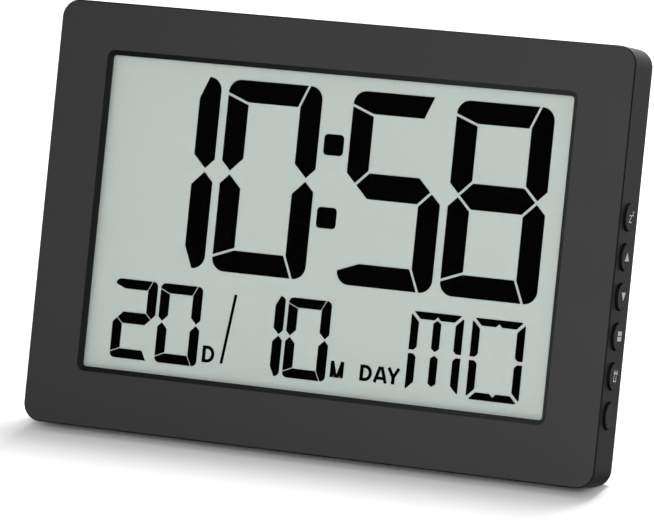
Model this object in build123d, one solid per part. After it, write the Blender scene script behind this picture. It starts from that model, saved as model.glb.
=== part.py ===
from build123d import *
import os
from math import cos, radians, sin, sqrt, tan

# Desk clock with a large liquid crystal display. The pieces are drawn upright: x to the right, y from the
# front face towards the back, z up from the bottom of the case. At the end the whole clock leans back
# onto its stand, with the origin on the floor under the middle of its box.

# Case
CASE_WIDTH = 200
CASE_HEIGHT = 140
CASE_CORNER = 6
SIDE_WALL = 2
BACK_WALL = 2
BACK_EDGE_ROUND = 0.8
LEAN = 15  # degrees
FOOT_LAND = 5  # depth of the flat strip that stands on the floor
CUT_OVERRUN = 1  # how far every cut runs past the face it opens

# Front bezel
BEZEL_FLANGE = 0.6
BEZEL_CHAMFER = 0.5
BEZEL_CORE = 2.25
SEAM_GAP = 0.15  # shadow line between the bezel's flange and the rim of the case
MOULD_FIT = 0.15  # clearance where one moulding drops into another
WINDOW_SIDE_MARGIN = 17.9
WINDOW_TOP_MARGIN = 15.5
WINDOW_BOTTOM_MARGIN = 18.3
WINDOW_CORNER = 2.7
REVEAL_WIDTH = 1.65
REVEAL_DEPTH = 1.7
REVEAL_LIP = 0.25  # upright edge between the slope and the lens

# Lens and liquid crystal display, from the front to the back
LENS_LAP = 3  # how far the lens reaches behind the bezel
LENS = 0.7
POLARISER = 0.15
GLASS = 0.5
CRYSTAL_GAP = 0.15  # the segments lie in this layer between the two glasses
REFLECTOR = 0.2
GLASS_LAP = 2.9  # how far the glasses reach past the visible window
POLARISER_INSET = 1
SEAL_WIDTH = 1.2
CONTACT_LEDGE = 3.6  # lower edge of the front glass that stands past the rear glass

# Display layout: places and sizes as shares of the visible window's width or height
TIME_WIDTH_SHARE = 0.2055
TIME_HEIGHT_SHARE = 0.6101
TIME_BASE_SHARE = 0.3479
TIME_MIDDLE_SHARE = 0.4985
DATE_WIDTH_SHARE = 0.0936
DATE_HEIGHT_SHARE = 0.2534
DATE_BASE_SHARE = 0.0379
DAY_LEFT_SHARE = 0.052
MONTH_LEFT_SHARE = 0.3355
LETTER_WIDTH_SHARE = 0.112
LETTER_LEFT_SHARE = 0.7023
# From one digit or letter to the next, as shares of its width
TIME_PITCH_SHARE = 1.0814
DATE_PITCH_SHARE = 1.077
LETTER_PITCH_SHARE = 1.162
# Stroke as a share of the width, then bar, middle bar, gap and outer corner as shares of the stroke
TIME_STYLE_SHARES = (0.2238, 0.97, 1.13, 0.1175, 0.593)
DATE_STYLE_SHARES = (0.2231, 0.943, 1.128, 0.1, 0.52)
# Stroke as a share of the width, then bar, gap, split, notch and outer corner as shares of the stroke
LETTER_STYLE_SHARES = (0.1494, 0.892, 0.38, 0.43, 0.41, 0.67)
MIDDLE_SHARE = 0.515  # height of a digit's middle joint
JOINT_SHARE = 0.42  # distance of a pointed segment end from the outer edge, of the stroke
NIP_SHARE = 0.37  # bevel at the split of a letter's upright, of the stroke
COLON_SIZE_SHARE = 0.927  # of the time digits' stroke
COLON_CORNER_SHARE = 0.194  # of a dot
COLON_SPACING_SHARE = 0.377  # of the time digits' height
COLON_MIDDLE_SHARE = 0.52  # of the time digits' height
COLON_CLEARANCE_SHARE = 0.0622  # between a dot and the digits beside it, of a digit's width
LIT_SEGMENTS = {"zero": "abcdef", "one": "bc", "two": "abdeg", "five": "acdfg", "eight": "abcdefg"}
UPRIGHTS = ["left_upper", "left_lower", "right_upper", "right_lower"]
TIME_SHOWN = ("one", "zero", "five", "eight")
DAY_SHOWN = ("two", "zero")
MONTH_SHOWN = ("one", "zero")

# Frame that holds the display against the bezel
FRAME_WALL = 2.2
FRAME_LIP = 0.75
FRAME_REACH = 2  # how far the lip covers the back of the glass
FRAME_CLEARANCE = 0.2
EAR_LENGTH = 5
EAR_HEIGHT = 8
EAR_THICKNESS = 1.2
EAR_ROWS_SHARES = (0.18, 0.82)  # heights of the ears on the frame
PEG_RADIUS = 1.2
PEG_HEAD_RADIUS = 2
PEG_HEAD = 0.5
PEG_CLEARANCE = 0.08

# Screws that hold the case together
CASE_SCREW_INSET = 10
CASE_SCREW_HEIGHT = 9
CASE_SCREW_RADIUS = 1.1
CASE_SCREW_HEAD_RADIUS = 2.5
CASE_SCREW_HEAD = 1.8
BEZEL_BOSS_RADIUS = 3
BEZEL_BOSS = 4
CASE_BOSS_RADIUS = 4
CASE_BOSS_FLOOR = 4  # material under the screw heads
PILOT_FLOOR = 0.9  # material left in front of the screw tips, from the back of the bezel
THREAD_CLEARANCE = 0.05
HEAD_CLEARANCE = 0.3
SHANK_CLEARANCE = 0.35
DRIVE_WIDTH = 0.7
DRIVE_DEPTH_SHARE = 0.5  # depth of the cross recess, of the head
DRIVE_REACH_SHARE = 0.7  # reach of the cross recess, of the head

# Circuit board and what it carries
BOARD = 1
BOARD_GAP = 0.25  # behind the heads of the bezel's pegs
BOARD_BAY_GAP = 6.65  # between the battery bay and the board
BOARD_SIDE_GAP = 4.6  # between the board and the right wall
BOARD_EDGE = 0.45  # below the connector strip
BOARD_RISE = 10.95  # above the highest button
BOARD_CORNER = 1.5
BOARD_SCREW_INSET = 4
BOARD_SCREW_RADIUS = 0.75
BOARD_SCREW_LENGTH = 6
BOARD_SCREW_HEAD_RADIUS = 1.6
BOARD_SCREW_HEAD = 0.6
BOARD_POST_RADIUS = 2.2
CHIP_RADIUS = 5
CHIP_RISE = 1.6
CHIP_SHARES = (0.4, 0.68)  # places on the board, across and up
CRYSTAL_RADIUS = 1.5
CRYSTAL_LENGTH = 8
CRYSTAL_LEAD = 0.3
CRYSTAL_SHARES = (0.2, 0.86)
CAPACITOR_RADIUS = 2.5
CAPACITOR_HEIGHT = 6
CAPACITOR_SHARES = ((0.2, 0.2), (0.2, 0.32))
BUZZER_RADIUS = 6
BUZZER_HEIGHT = 5.4
BUZZER_MOUTH_RADIUS = 1.5
BUZZER_MOUTH = 1
BUZZER_SHARES = (0.48, 0.36)
SOUND_HOLE_RADIUS = 0.9
SOUND_HOLE_SPACING = 3.2
SOUND_HOLES = 6  # round the middle one
STRIP_WIDTH = 2
STRIP_SHARES = (0.09, 0.75)  # ends of the connector strip across the board
SOLDER_GAP = 0.05

# Side buttons, from the lowest to the highest
BUTTON_NAMES = ("set", "alarm", "mode", "down", "up", "snooze")
BUTTON_LOW = 23.5
BUTTON_PITCH = 12.6
BUTTON_RADIUS = 4.3
BUTTON_GAP = 0.3
BUTTON_PROUD = 1.2
BUTTON_ROUND = 0.5
ROUND_SHARE = 0.29  # place of the middle of a soft edge, of its radius
BUTTON_FLANGE_RADIUS = 5.1
BUTTON_FLANGE = 1
BUTTON_TRAVEL = 0.6
STEM_RADIUS = 1.6
STOP_GAP = 0.1
SWITCH_WIDTH = 6
SWITCH_LENGTH = 4.5
SWITCH_HEIGHT = 3.2
SWITCH_SETBACK = 2.4  # between the board's right edge and the switch bodies
PLUNGER_WIDTH = 3
PLUNGER_HEIGHT = 1.5
PLUNGER_REACH = 1.5
PLUNGER_CLEARANCE = 0.1

# Battery bay, cells and contacts
CELL_RADIUS = 5.25
CELL_LENGTH = 44.5
CELL_NUB_RADIUS = 1.9
CELL_NUB = 1.2
CELL_EDGE = 0.5
CELL_CLEARANCE = 0.25
CELL_SEAT = 0.1
CELL_DOOR_GAP = 0.15
BAY_GAP = 0.1  # behind the display's frame
BAY_WALL = 1.4
BAY_FLOOR = 0.9
BAY_RIDGE = 1.8  # height of the ridge between the cells
BAY_RIDGE_WIDTH = 1.2
CONTACT = 0.4
CONTACT_SEAT = 0.1
CONTACT_WIDTH = 9
CONTACT_LENGTH = 8
CONTACT_BOW = 4.4
TAB_WIDTH = 3
TAB_REACH = 3
TAB_CLEARANCE = 0.3

# Battery door
DOOR = 1.6
DOOR_LAP = 3  # how far the door covers the case round the bay
DOOR_RISE = 5.3  # above the stand's recess
DOOR_FIT = 0.3
DOOR_LEDGE_GAP = 0.1
DOOR_BARREL = 1
DOOR_PIN_RADIUS = 0.55
DOOR_PIN = 1.2
DOOR_FRAME = 3
DOOR_FRAME_DEPTH = 3.5
PIN_CLEARANCE = 0.05
PIN_END_GAP = 0.3
LATCH_WIDTH = 12
LATCH_BEAD_RADIUS = 0.2
LATCH_SLOT = 0.8
LATCH_SLOT_LENGTH = 6
GRIP_GROOVES = 3
GRIP_GROOVE = 0.5
GRIP_PITCH = 1.2
SCOOP_RADIUS = 5
SCOOP_DEPTH = 1

# Fold-out stand
STAND_OPEN = 24  # degrees between the open leg and the back
STAND_HINGE_SHARE = 0.43  # of the case's height
STAND_WIDTH = 40
STAND_FOOT_WIDTH = 32
STAND_FOOT_CORNER = 3
STAND_THICKNESS = 2.4
STAND_BARREL = 1.4
STAND_PIN_RADIUS = 0.9
STAND_PIN = 1.8
STAND_HEEL = 3.2  # end above the pins that meets the stop
STAND_SIDE_GAP = 0.5
STAND_TOP_GAP = 0.8
STAND_BACK_GAP = 0.1
STAND_STOP_GAP = 0.05
STAND_RIB_WIDTH = 1.6
STAND_RIB = 0.8
STAND_RIB_INSET = 5
STAND_RIB_TOP_GAP = 6
STAND_RIB_FOOT_GAP = 8
POCKET_WALL = 3.2
POCKET_FLOOR = 1.2

# Keyhole for a wall screw
KEYHOLE_GAP = 0.5  # between the door's frame and the keyhole's pocket
KEYHOLE_RADIUS = 4.25
KEYHOLE_SLOT_RADIUS = 2.1
KEYHOLE_RISE = 6
KEYHOLE_POCKET = 5.5
KEYHOLE_POCKET_WALL = 1.4
KEYHOLE_MARGIN = 2.4

# Window and display
rim = BEZEL_FLANGE + SEAM_GAP
case_middle = CASE_HEIGHT / 2
side_inner = CASE_WIDTH / 2 - SIDE_WALL
window_width = CASE_WIDTH - 2 * WINDOW_SIDE_MARGIN
window_height = CASE_HEIGHT - WINDOW_TOP_MARGIN - WINDOW_BOTTOM_MARGIN
window_middle = WINDOW_BOTTOM_MARGIN + window_height / 2
view_width = window_width - 2 * REVEAL_WIDTH
view_height = window_height - 2 * REVEAL_WIDTH
view_bottom = window_middle - view_height / 2
lens_back = REVEAL_DEPTH + LENS
glass_front = lens_back + POLARISER
crystal_front = glass_front + GLASS
crystal_back = crystal_front + CRYSTAL_GAP
reflector_front = crystal_back + GLASS
display_back = reflector_front + REFLECTOR
glass_width = view_width + 2 * GLASS_LAP
glass_height = view_height + 2 * GLASS_LAP
glass_bottom = window_middle - glass_height / 2
glass_top = window_middle + glass_height / 2
time_width = TIME_WIDTH_SHARE * view_width
time_height = TIME_HEIGHT_SHARE * view_height
time_base = view_bottom + TIME_BASE_SHARE * view_height
date_width = DATE_WIDTH_SHARE * view_width
date_height = DATE_HEIGHT_SHARE * view_height
date_base = view_bottom + DATE_BASE_SHARE * view_height
letter_width = LETTER_WIDTH_SHARE * view_width
frame_width = glass_width + 2 * (FRAME_CLEARANCE + FRAME_WALL)
frame_bottom = glass_bottom - CONTACT_LEDGE - FRAME_CLEARANCE - FRAME_WALL
frame_top = glass_top + FRAME_CLEARANCE + FRAME_WALL
frame_back = display_back + FRAME_LIP
ear_x = frame_width / 2 + EAR_LENGTH / 2
ear_rows = [frame_bottom + share * (frame_top - frame_bottom) for share in EAR_ROWS_SHARES]

# Depths: the display and the cells behind it set the depth of the case
board_front = frame_back + PEG_HEAD + BOARD_GAP
board_back = board_front + BOARD
bay_floor = frame_back + BAY_GAP + BAY_FLOOR
cell_depth = bay_floor + CELL_SEAT + CELL_RADIUS
case_depth = cell_depth + CELL_RADIUS + CELL_DOOR_GAP + DOOR
back_inner = case_depth - BACK_WALL
boss_seat = BEZEL_CORE + BEZEL_BOSS
screw_seat = boss_seat + CASE_BOSS_FLOOR
screw_tip = BEZEL_CORE + PILOT_FLOOR
button_depth = board_back + SWITCH_HEIGHT / 2

# Stand, on the back
stand_height = STAND_HINGE_SHARE * CASE_HEIGHT
stand_axis_y = case_depth - STAND_BACK_GAP - STAND_BARREL
stand_half = STAND_THICKNESS / 2
land_front = case_depth - FOOT_LAND
stand_drop = stand_height * cos(radians(LEAN)) - (stand_axis_y - land_front) * sin(radians(LEAN))
stand_reach = (stand_drop - stand_half) / cos(radians(STAND_OPEN - LEAN))
heel_depth = stand_half * cos(radians(STAND_OPEN)) + STAND_HEEL * sin(radians(STAND_OPEN))
recess_floor = stand_axis_y - heel_depth - STAND_STOP_GAP
recess_half = STAND_WIDTH / 2 + STAND_SIDE_GAP
recess_top = stand_height + STAND_HEEL + STAND_TOP_GAP

# Battery bay and door, above the stand
door_bottom = recess_top + DOOR_RISE
bay_bottom = door_bottom + DOOR_LAP
bay_length = CELL_LENGTH + CONTACT_BOW + 2 * (CONTACT + CONTACT_SEAT)
bay_end = bay_length / 2
bay_top = bay_bottom + 4 * CELL_RADIUS + 3 * CELL_CLEARANCE
cell_rows = [bay_bottom + CELL_CLEARANCE + CELL_RADIUS, bay_top - CELL_CLEARANCE - CELL_RADIUS]
door_width = bay_length + 2 * DOOR_LAP
door_top = bay_top + DOOR_LAP
door_axis_y = case_depth - DOOR_BARREL
door_axis_z = door_bottom + DOOR_BARREL

# Keyhole, above the door
keyhole_half = KEYHOLE_RADIUS + KEYHOLE_MARGIN
keyhole_z = door_top + DOOR_FRAME + KEYHOLE_GAP + KEYHOLE_POCKET_WALL + keyhole_half
keyhole_top = keyhole_z + KEYHOLE_RISE + KEYHOLE_SLOT_RADIUS + KEYHOLE_MARGIN

# Buttons, board and connector strip, on the right
button_heights = [BUTTON_LOW + row * BUTTON_PITCH for row in range(len(BUTTON_NAMES))]
strip_z = glass_bottom - CONTACT_LEDGE / 2
board_left = bay_end + BAY_WALL + BOARD_BAY_GAP
board_right = side_inner - BOARD_SIDE_GAP
board_width = board_right - board_left
board_bottom = strip_z - STRIP_WIDTH / 2 - BOARD_EDGE
board_height = button_heights[-1] + BOARD_RISE - board_bottom
strip_left, strip_right = [board_left + share * board_width for share in STRIP_SHARES]
switch_face = board_right - SWITCH_SETBACK


def panel(outline, near, far):
    """Thicken an outline drawn in x and z from one depth to another behind the front face."""
    return extrude(Plane.XZ.offset(-near) * outline, amount=far - near, dir=(0, 1, 0))


def block(left, right, near, far, low, high):
    """A box between two places on each axis."""
    outline = Pos((left + right) / 2, (low + high) / 2) * Rectangle(right - left, high - low)
    return panel(outline, near, far)


def rod(x, z, radius, near, far):
    """A round bar that runs from the front towards the back."""
    return panel(Pos(x, z) * Circle(radius), near, far)


def cross_rod(y, z, radius, left, right):
    """A round bar that runs across the clock."""
    return cross_panel(Pos(y, z) * Circle(radius), left, right)


def cross_panel(outline, left, right):
    """Thicken an outline drawn in y and z from one place across the clock to another."""
    return extrude(Plane.YZ.offset(left) * outline, amount=right - left, dir=(1, 0, 0))


def turned(profile, x, z):
    """Turn an outline of radius and depth about a line that runs from the front towards the back."""
    return Pos(x, 0, z) * revolve(Polygon(*profile), Axis.Y)


def cross_turned(profile, y, z):
    """Turn an outline of length and radius about a line that runs across the clock."""
    return Pos(0, y, z) * revolve(Polygon(*profile), Axis.X)


def rounded(width, height, corner, x, z):
    """A rectangle with round corners about a middle point."""
    return Pos(x, z) * RectangleRounded(width, height, corner)


def on_board(shares):
    """The x and z of a place on the board given as shares of its sides."""
    return board_left + shares[0] * board_width, board_bottom + shares[1] * board_height


def case_screw_places():
    """The four places of the case screws, near the corners."""
    x = CASE_WIDTH / 2 - CASE_SCREW_INSET
    return [(side * x, z) for side in (-1, 1) for z in (CASE_SCREW_HEIGHT, CASE_HEIGHT - CASE_SCREW_HEIGHT)]


def board_screw_places():
    """The four corners where the board is screwed to its posts."""
    columns = (board_left + BOARD_SCREW_INSET, board_right - BOARD_SCREW_INSET)
    rows = (board_bottom + BOARD_SCREW_INSET, board_bottom + board_height - BOARD_SCREW_INSET)
    return [(x, z) for x in columns for z in rows]


def ear_places():
    """The pegs of the bezel and the ears of the display frame that they hold."""
    return [(side * ear_x, z) for side in (-1, 1) for z in ear_rows]


def front_bezel():
    """Front frame: thin flange over the rim of the case, a core inside it, and a sloping window reveal."""
    flange = panel(rounded(CASE_WIDTH, CASE_HEIGHT, CASE_CORNER, 0, case_middle), 0, BEZEL_FLANGE)
    front_edges = flange.faces().sort_by(Axis.Y)[0].edges()
    flange = chamfer(front_edges, BEZEL_CHAMFER)
    inset = SIDE_WALL + MOULD_FIT
    core_width = CASE_WIDTH - 2 * inset
    core_height = CASE_HEIGHT - 2 * inset
    core = rounded(core_width, core_height, CASE_CORNER - inset, 0, case_middle)
    body = flange + panel(core, BEZEL_CHAMFER, BEZEL_CORE)
    wide = rounded(window_width, window_height, WINDOW_CORNER, 0, window_middle)
    narrow = rounded(view_width, view_height, WINDOW_CORNER - REVEAL_WIDTH, 0, window_middle)
    slope_end = REVEAL_DEPTH - REVEAL_LIP
    body -= loft([Plane.XZ * wide, Plane.XZ.offset(-slope_end) * narrow], ruled=True)
    body -= panel(narrow, slope_end, BEZEL_CORE + CUT_OVERRUN)
    lap = LENS_LAP + MOULD_FIT
    rebate = Pos(0, window_middle) * Rectangle(view_width + 2 * lap, view_height + 2 * lap)
    body -= panel(rebate, REVEAL_DEPTH, BEZEL_CORE + CUT_OVERRUN)
    pilot = CASE_SCREW_RADIUS + THREAD_CLEARANCE
    for x, z in case_screw_places():
        body += rod(x, z, BEZEL_BOSS_RADIUS, BEZEL_CORE, boss_seat)
        body -= rod(x, z, pilot, screw_tip - THREAD_CLEARANCE, boss_seat + CUT_OVERRUN)
    for x, z in ear_places():
        body += rod(x, z, PEG_RADIUS, BEZEL_CORE, frame_back + PEG_HEAD)
        body += rod(x, z, PEG_HEAD_RADIUS, frame_back, frame_back + PEG_HEAD)
    return body


def display_lens():
    """Clear sheet in the rebate behind the reveal."""
    outline = Rectangle(view_width + 2 * LENS_LAP, view_height + 2 * LENS_LAP)
    return panel(Pos(0, window_middle) * outline, REVEAL_DEPTH, lens_back)


def film(near, far):
    """One of the two polarising films, a little smaller than the glass."""
    outline = Rectangle(glass_width - 2 * POLARISER_INSET, glass_height - 2 * POLARISER_INSET)
    return panel(Pos(0, window_middle) * outline, near, far)


def front_glass():
    """Front glass, with the contact ledge below the rear glass."""
    outline = Rectangle(glass_width, glass_height + CONTACT_LEDGE)
    return panel(Pos(0, window_middle - CONTACT_LEDGE / 2) * outline, glass_front, crystal_front)


def rear_glass():
    """Rear glass of the display."""
    return panel(Pos(0, window_middle) * Rectangle(glass_width, glass_height), crystal_back, reflector_front)


def edge_seal():
    """Bead that closes the liquid crystal layer all round between the glasses."""
    outer = Rectangle(glass_width, glass_height)
    inner = Rectangle(glass_width - 2 * SEAL_WIDTH, glass_height - 2 * SEAL_WIDTH)
    return panel(Pos(0, window_middle) * (outer - inner), crystal_front, crystal_back)


def digit(value, width, height, style_shares):
    """The lit segments of one seven-segment digit, with its lower left corner at the origin.

    The outer corners are round, the bars own the left corners and the uprights own the right ones, and
    the uprights end in points that meet at the middle joints.
    """
    stroke = style_shares[0] * width
    bar, middle_bar, gap, corner = [share * stroke for share in style_shares[1:]]
    centre = height * MIDDLE_SHARE
    joint = stroke * JOINT_SHARE
    tip = gap / sqrt(2)
    outer = tip + joint
    inner = tip + stroke - joint
    half = middle_bar / 2
    inside = width - stroke
    left_end = joint + tip
    right_end = width - left_end
    segments = {
        "a": [(0, height - corner), (stroke, height - bar), (inside - gap, height - bar),
              (width - corner - gap, height), (0, height)],
        "b": [(width - corner, height), (width, height), (width, centre + outer),
              (width - joint, centre + tip), (inside, centre + inner), (inside, height - bar)],
        "c": [(width - corner, 0), (width, 0), (width, centre - outer), (width - joint, centre - tip),
              (inside, centre - inner), (inside, bar)],
        "d": [(0, corner), (stroke, bar), (inside - gap, bar), (width - corner - gap, 0), (0, 0)],
        "e": [(0, corner + gap), (stroke, bar + gap), (stroke, centre - inner), (joint, centre - tip),
              (0, centre - outer)],
        "f": [(0, height - corner - gap), (stroke, height - bar - gap), (stroke, centre + inner),
              (joint, centre + tip), (0, centre + outer)],
        "g": [(left_end, centre), (left_end + half, centre + half), (right_end - half, centre + half),
              (right_end, centre), (right_end - half, centre - half), (left_end + half, centre - half)],
    }
    blank = rounded(width, height, corner, width / 2, height / 2)
    return [Polygon(*segments[name]) & blank for name in LIT_SEGMENTS[value]]


def mirrored(points, width):
    """The same outline on the other side of a letter."""
    return [(width - x, z) for x, z in points]


def flipped(points, height):
    """The same outline at the other end of a letter."""
    return [(x, height - z) for x, z in points]


def weekday_letter(names):
    """The named segments of one letter: mitred bars with a centre notch, split uprights and centre post."""
    width = letter_width
    height = date_height
    stroke = LETTER_STYLE_SHARES[0] * width
    bar, gap, split, notch, corner = [share * stroke for share in LETTER_STYLE_SHARES[1:]]
    mitre = gap / sqrt(2)
    nip = stroke * NIP_SHARE
    post = stroke / 2
    middle = width / 2
    low = (height + split) / 2
    under = height - bar
    top = [(mitre, height), (width - mitre, height), (width - mitre - bar, under), (middle + notch, under),
           (middle, under + notch), (middle - notch, under), (mitre + bar, under)]
    upright = [(0, height - mitre), (stroke, height - mitre - stroke), (stroke, low + nip),
               (stroke - nip, low), (0, low)]
    centre = [(middle, under), (middle + post, under - nip), (middle + post, low + nip), (middle, low),
              (middle - post, low + nip), (middle - post, under - nip)]
    segments = {
        "top": top,
        "bottom": flipped(top, height),
        "left_upper": upright,
        "left_lower": flipped(upright, height),
        "right_upper": mirrored(upright, width),
        "right_lower": flipped(mirrored(upright, width), height),
        "centre_upper": centre,
        "centre_lower": flipped(centre, height),
    }
    blank = rounded(width, height, corner, middle, height / 2)
    return [Polygon(*segments[name]) & blank for name in names]


def lit(faces, x, z):
    """Lit segments as thin plates in the liquid crystal layer, moved to their place on the display."""
    return [panel(Pos(x, z) * face, crystal_front, crystal_back) for face in faces]


def view_place(share):
    """The x of a place across the visible window, given as a share of its width."""
    return (share - 1 / 2) * view_width


def time_digits():
    """The four large digits, two on each side of the colon."""
    middle = view_place(TIME_MIDDLE_SHARE)
    dot = COLON_SIZE_SHARE * TIME_STYLE_SHARES[0] * time_width
    beside = dot / 2 + COLON_CLEARANCE_SHARE * time_width
    pitch = TIME_PITCH_SHARE * time_width
    lefts = [middle - beside - time_width - pitch, middle - beside - time_width, middle + beside,
             middle + beside + pitch]
    plates = []
    for value, left in zip(TIME_SHOWN, lefts):
        plates += lit(digit(value, time_width, time_height, TIME_STYLE_SHARES), left, time_base)
    return Compound(plates)


def colon_dots():
    """The two square dots between the hours and the minutes."""
    size = COLON_SIZE_SHARE * TIME_STYLE_SHARES[0] * time_width
    dot = RectangleRounded(size, size, COLON_CORNER_SHARE * size)
    middle = time_base + COLON_MIDDLE_SHARE * time_height
    apart = COLON_SPACING_SHARE * time_height
    rows = (middle - apart / 2, middle + apart / 2)
    return Compound([lit([dot], view_place(TIME_MIDDLE_SHARE), z)[0] for z in rows])


def date_digits(values, left_share):
    """Two small digits of the date."""
    plates = []
    for place, value in enumerate(values):
        left = view_place(left_share) + place * DATE_PITCH_SHARE * date_width
        plates += lit(digit(value, date_width, date_height, DATE_STYLE_SHARES), left, date_base)
    return Compound(plates)


def weekday_letters():
    """The two letters of the weekday."""
    left = view_place(LETTER_LEFT_SHARE)
    first = weekday_letter(["top", "centre_upper", "centre_lower"] + UPRIGHTS)
    second = weekday_letter(["top", "bottom"] + UPRIGHTS)
    plates = lit(first, left, date_base)
    plates += lit(second, left + LETTER_PITCH_SHARE * letter_width, date_base)
    return Compound(plates)


def lcd_frame():
    """Frame round the glass with a lip behind its edge, ears for the pegs and a slot for the strip."""
    half = glass_width / 2 + FRAME_CLEARANCE
    body = block(-frame_width / 2, frame_width / 2, BEZEL_CORE, frame_back, frame_bottom, frame_top)
    body -= block(-half, half, BEZEL_CORE - CUT_OVERRUN, display_back, frame_bottom + FRAME_WALL,
                  frame_top - FRAME_WALL)
    mouth = glass_width / 2 - FRAME_REACH
    past = frame_back + CUT_OVERRUN
    body -= block(-mouth, mouth, BEZEL_CORE, past, glass_bottom + FRAME_REACH, glass_top - FRAME_REACH)
    slot = STRIP_WIDTH / 2 + FRAME_CLEARANCE
    body -= block(strip_left - FRAME_CLEARANCE, strip_right + FRAME_CLEARANCE, BEZEL_CORE, past,
                  strip_z - slot, strip_z + slot)
    for x, z in ear_places():
        root = x * frame_width / 2 / ear_x
        tip = 2 * x - root
        body += block(min(root, tip), max(root, tip), frame_back - EAR_THICKNESS, frame_back,
                      z - EAR_HEIGHT / 2, z + EAR_HEIGHT / 2)
        body -= rod(x, z, PEG_RADIUS + PEG_CLEARANCE, BEZEL_CORE, past)
    return body


def connector_strip():
    """Elastomer strip that joins the contact ledge of the glass to the board."""
    return block(strip_left, strip_right, crystal_front, board_front,
                 strip_z - STRIP_WIDTH / 2, strip_z + STRIP_WIDTH / 2)


def main_board():
    """Circuit board behind the right half of the display."""
    middle_x = board_left + board_width / 2
    middle_z = board_bottom + board_height / 2
    outline = rounded(board_width, board_height, BOARD_CORNER, middle_x, middle_z)
    for x, z in board_screw_places():
        outline -= Pos(x, z) * Circle(BOARD_SCREW_RADIUS + SHANK_CLEARANCE)
    return panel(outline, board_front, board_back)


def clock_chip():
    """Epoxy dome over the clock chip: a flat cap of a sphere."""
    x, z = on_board(CHIP_SHARES)
    ball = (CHIP_RADIUS ** 2 + CHIP_RISE ** 2) / (2 * CHIP_RISE)
    sphere = Pos(x, board_back + CHIP_RISE - ball, z) * Sphere(ball)
    return sphere & rod(x, z, CHIP_RADIUS, board_back, board_back + CHIP_RISE)


def quartz_crystal():
    """Cylindrical crystal can lying on the board, with its two leads."""
    x, z = on_board(CRYSTAL_SHARES)
    y = board_back + SOLDER_GAP + CRYSTAL_RADIUS
    body = cross_rod(y, z, CRYSTAL_RADIUS, x, x + CRYSTAL_LENGTH)
    for side in (-1, 1):
        body += cross_rod(y, z + side * CRYSTAL_RADIUS / 2, CRYSTAL_LEAD, x - CRYSTAL_RADIUS, x)
    return body


def capacitors():
    """Two upright can capacitors."""
    cans = []
    for shares in CAPACITOR_SHARES:
        x, z = on_board(shares)
        cans.append(rod(x, z, CAPACITOR_RADIUS, board_back, board_back + CAPACITOR_HEIGHT))
    return Compound(cans)


def alarm_buzzer():
    """Round buzzer with a sound mouth towards the holes in the back."""
    x, z = on_board(BUZZER_SHARES)
    top = board_back + BUZZER_HEIGHT
    mouth = rod(x, z, BUZZER_MOUTH_RADIUS, top - BUZZER_MOUTH, top + CUT_OVERRUN)
    return rod(x, z, BUZZER_RADIUS, board_back, top) - mouth


def side_switches():
    """Switch bodies along the board's right edge, each open to the side for its plunger."""
    bodies = []
    deep = PLUNGER_REACH + BUTTON_TRAVEL + STOP_GAP
    wide = PLUNGER_WIDTH / 2 + PLUNGER_CLEARANCE
    tall = PLUNGER_HEIGHT / 2 + PLUNGER_CLEARANCE
    for z in button_heights:
        body = block(switch_face - SWITCH_LENGTH, switch_face, board_back, board_back + SWITCH_HEIGHT,
                     z - SWITCH_WIDTH / 2, z + SWITCH_WIDTH / 2)
        body -= block(switch_face - deep, switch_face + CUT_OVERRUN, button_depth - tall, button_depth + tall,
                      z - wide, z + wide)
        bodies.append(body)
    return Compound(bodies)


def switch_plunger(z):
    """Plunger of one switch, half in its body and half out towards the button."""
    tall = PLUNGER_HEIGHT / 2
    wide = PLUNGER_WIDTH / 2
    return block(switch_face - PLUNGER_REACH, switch_face + PLUNGER_REACH, button_depth - tall,
                 button_depth + tall, z - wide, z + wide)


def side_button(z):
    """Turned cap with a soft edge, a flange behind the wall and a stem to its switch."""
    stem = switch_face + PLUNGER_REACH
    flange = side_inner - STOP_GAP - BUTTON_FLANGE
    seat = side_inner - STOP_GAP
    face = CASE_WIDTH / 2 + BUTTON_PROUD
    edge = BUTTON_ROUND * ROUND_SHARE
    profile = [(stem, 0), (stem, STEM_RADIUS), (flange, STEM_RADIUS), (flange, BUTTON_FLANGE_RADIUS),
               (seat, BUTTON_FLANGE_RADIUS), (seat, BUTTON_RADIUS), (face - BUTTON_ROUND, BUTTON_RADIUS),
               (face - edge, BUTTON_RADIUS - edge), (face, BUTTON_RADIUS - BUTTON_ROUND), (face, 0)]
    return cross_turned(profile, button_depth, z)


def keyhole(near, far):
    """Round hole for the screw head with a narrow slot above it."""
    slot = Pos(0, keyhole_z + KEYHOLE_RISE / 2) * Rectangle(2 * KEYHOLE_SLOT_RADIUS, KEYHOLE_RISE)
    end = Pos(0, keyhole_z + KEYHOLE_RISE) * Circle(KEYHOLE_SLOT_RADIUS)
    return panel(Pos(0, keyhole_z) * Circle(KEYHOLE_RADIUS) + slot + end, near, far)


def sound_holes():
    """Ring of small holes round a middle one, behind the buzzer."""
    x, z = on_board(BUZZER_SHARES)
    places = [(x, z)]
    for hole in range(SOUND_HOLES):
        angle = radians(hole * 360 / SOUND_HOLES)
        places.append((x + SOUND_HOLE_SPACING * cos(angle), z + SOUND_HOLE_SPACING * sin(angle)))
    near = back_inner - CUT_OVERRUN
    return [rod(x, z, SOUND_HOLE_RADIUS, near, case_depth + CUT_OVERRUN) for x, z in places]


def foot_land():
    """Wedge cut from the lower back edge, so that the leaning case stands on a flat strip."""
    rise = (FOOT_LAND + CUT_OVERRUN) * tan(radians(LEAN))
    far = case_depth + CUT_OVERRUN
    wedge = Polygon((land_front, 0), (far, rise), (far, -CUT_OVERRUN), (land_front, -CUT_OVERRUN))
    return cross_panel(wedge, -CASE_WIDTH / 2 - CUT_OVERRUN, CASE_WIDTH / 2 + CUT_OVERRUN)


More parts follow.
